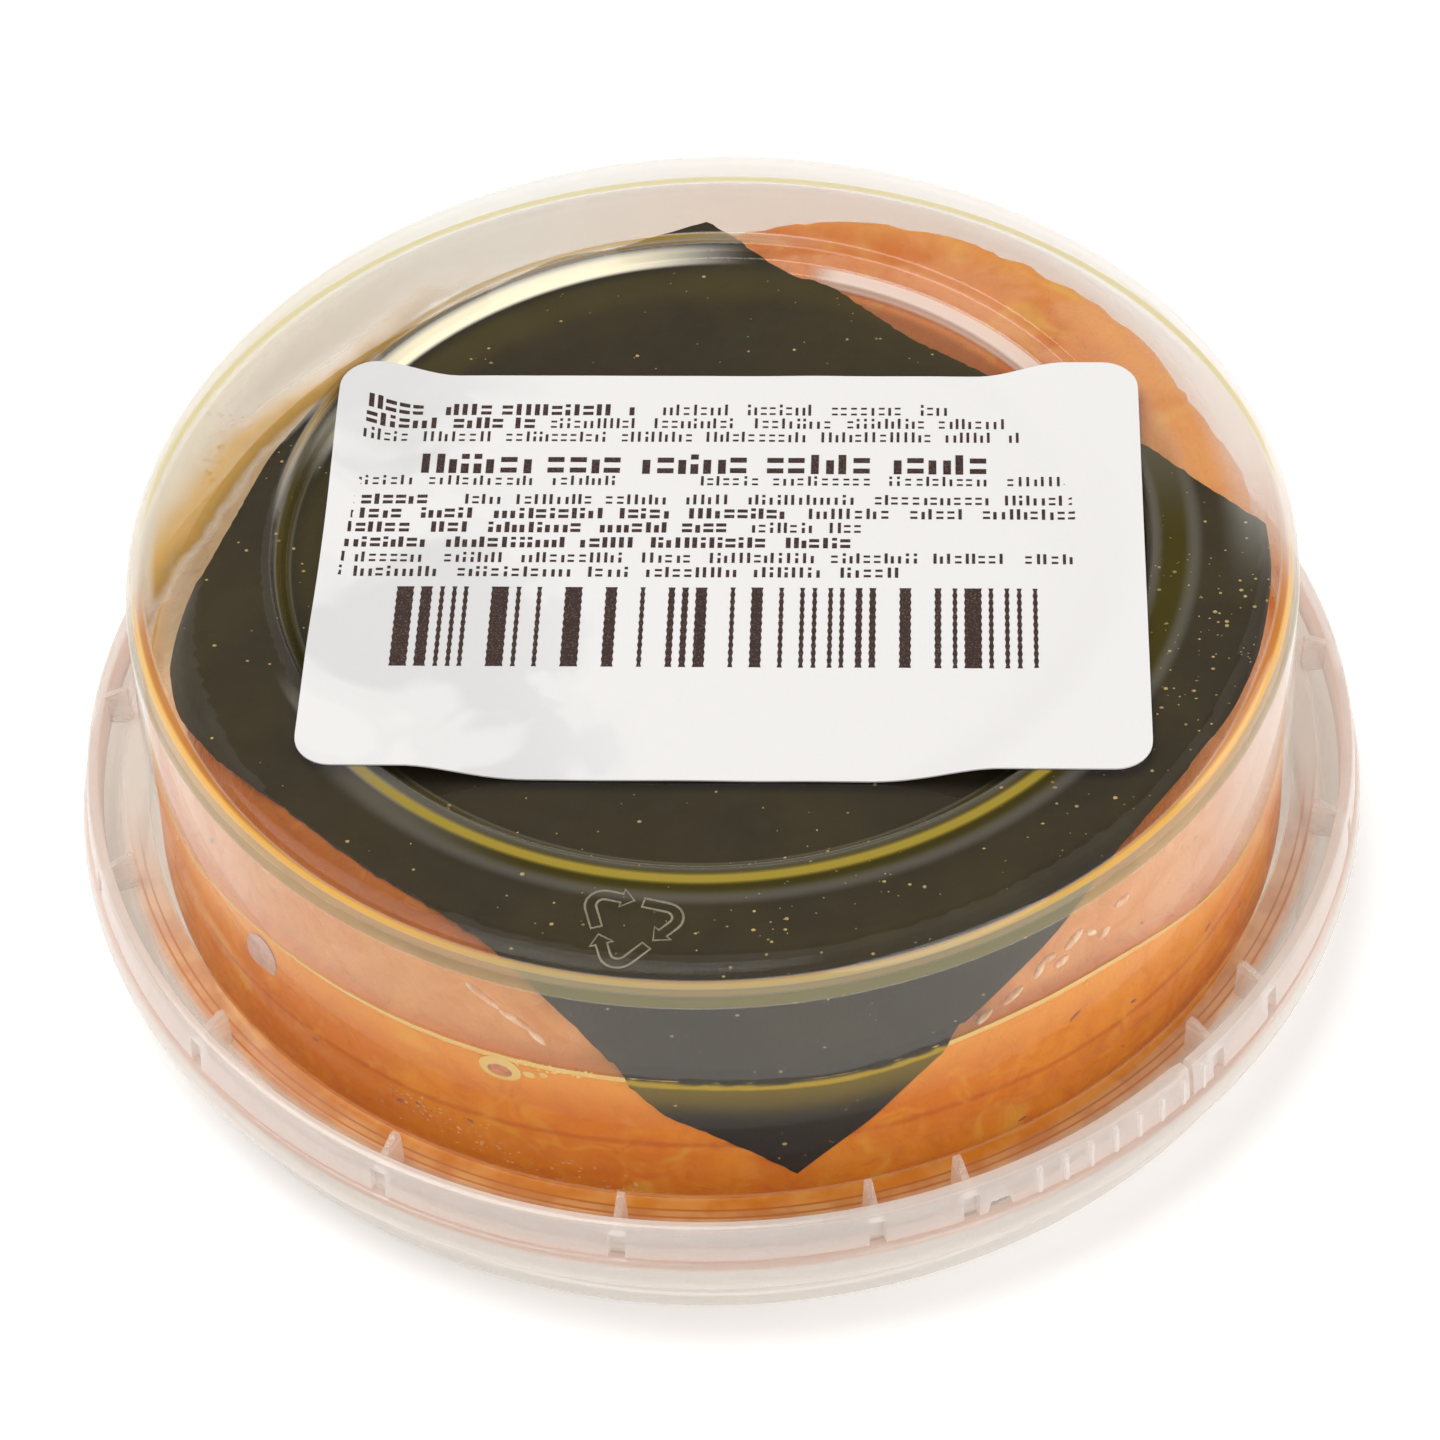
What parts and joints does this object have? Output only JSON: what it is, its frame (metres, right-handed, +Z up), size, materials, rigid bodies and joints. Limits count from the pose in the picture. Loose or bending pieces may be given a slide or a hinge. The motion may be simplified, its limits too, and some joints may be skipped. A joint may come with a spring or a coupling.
{
  "type": "sealed tub of sea urchin roe",
  "caption": "Round clear plastic tub of orange sea urchin roe under a dark kelp sheet, upside down on its lid, with a paper label on the base plate and a tear tab in the skirt.",
  "frame": {"origin": "centre of the lid's rim ring, on the surface that the pack stands on", "axes": "+Z up, out of the tub's base plate, which is uppermost; -Y towards the camera, the lower edge of the label; +X to the right of the label"},
  "size_m": [0.0948, 0.0948, 0.032],
  "materials": {
    "clear_plastic": "clear, polished",
    "milky_plastic": "milky, smooth",
    "label_paper": "smooth, printed in dark brown",
    "roe_flesh": "wet, soft",
    "kelp_leaf": "wet, dark olive"
  },
  "bodies": {
    "root": {"tub": "clear_plastic", "lid": "milky_plastic", "label": "label_paper", "roe": "roe_flesh", "kelp_sheet": "kelp_leaf"}
  },
  "joints": []
}
